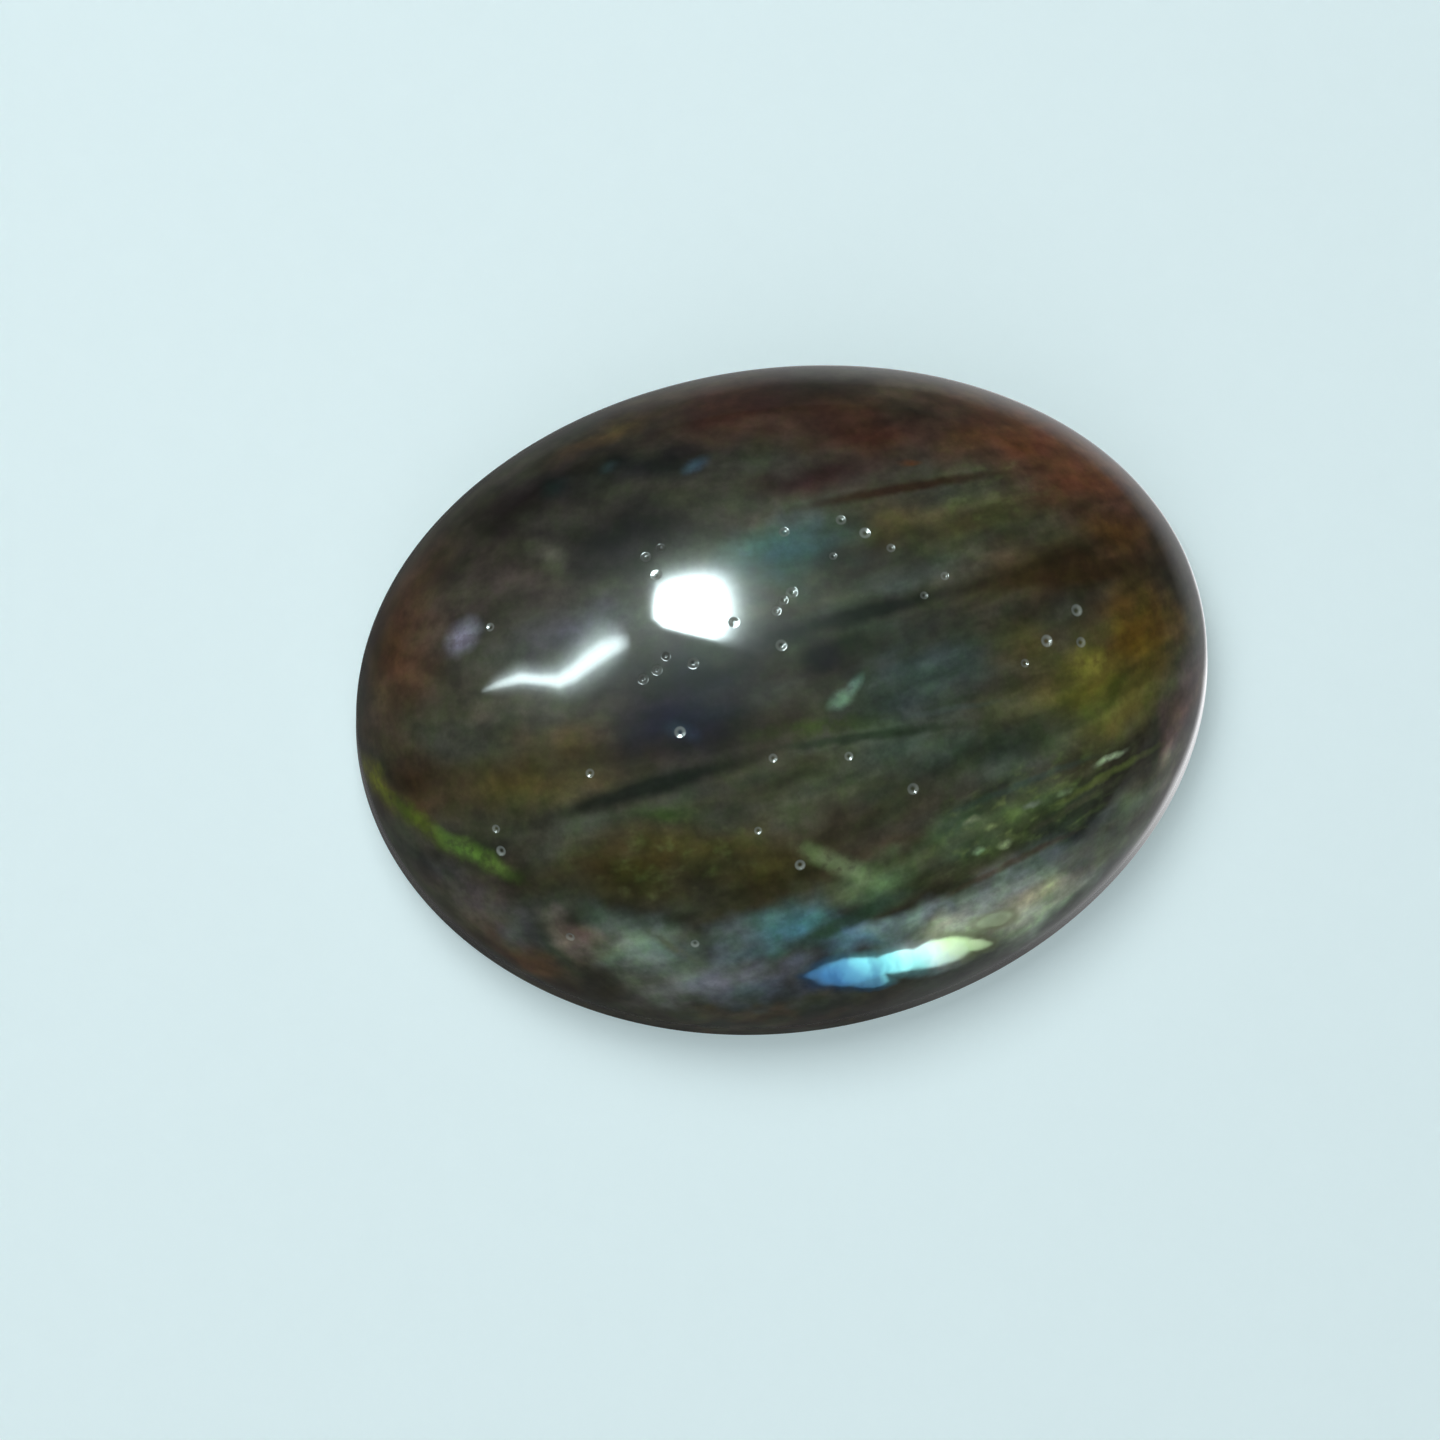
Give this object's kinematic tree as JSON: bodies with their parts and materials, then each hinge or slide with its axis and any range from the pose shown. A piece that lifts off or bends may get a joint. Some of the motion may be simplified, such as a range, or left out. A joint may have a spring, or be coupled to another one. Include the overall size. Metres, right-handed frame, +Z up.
{
  "type": "oval labradorite cabochon",
  "caption": "Oval polished stone with a domed crown, a short straight girdle and a flat back, for setting in a bezel or lying loose.",
  "frame": {"origin": "centre of the oval, on the flat back", "axes": "+X along the oval's length, +Y across it, +Z up through the crown"},
  "size_m": [0.021, 0.0162, 0.0066],
  "materials": {
    "labradorite": "polished"
  },
  "bodies": {
    "root": {"labradorite_cabochon": "labradorite"}
  },
  "joints": []
}
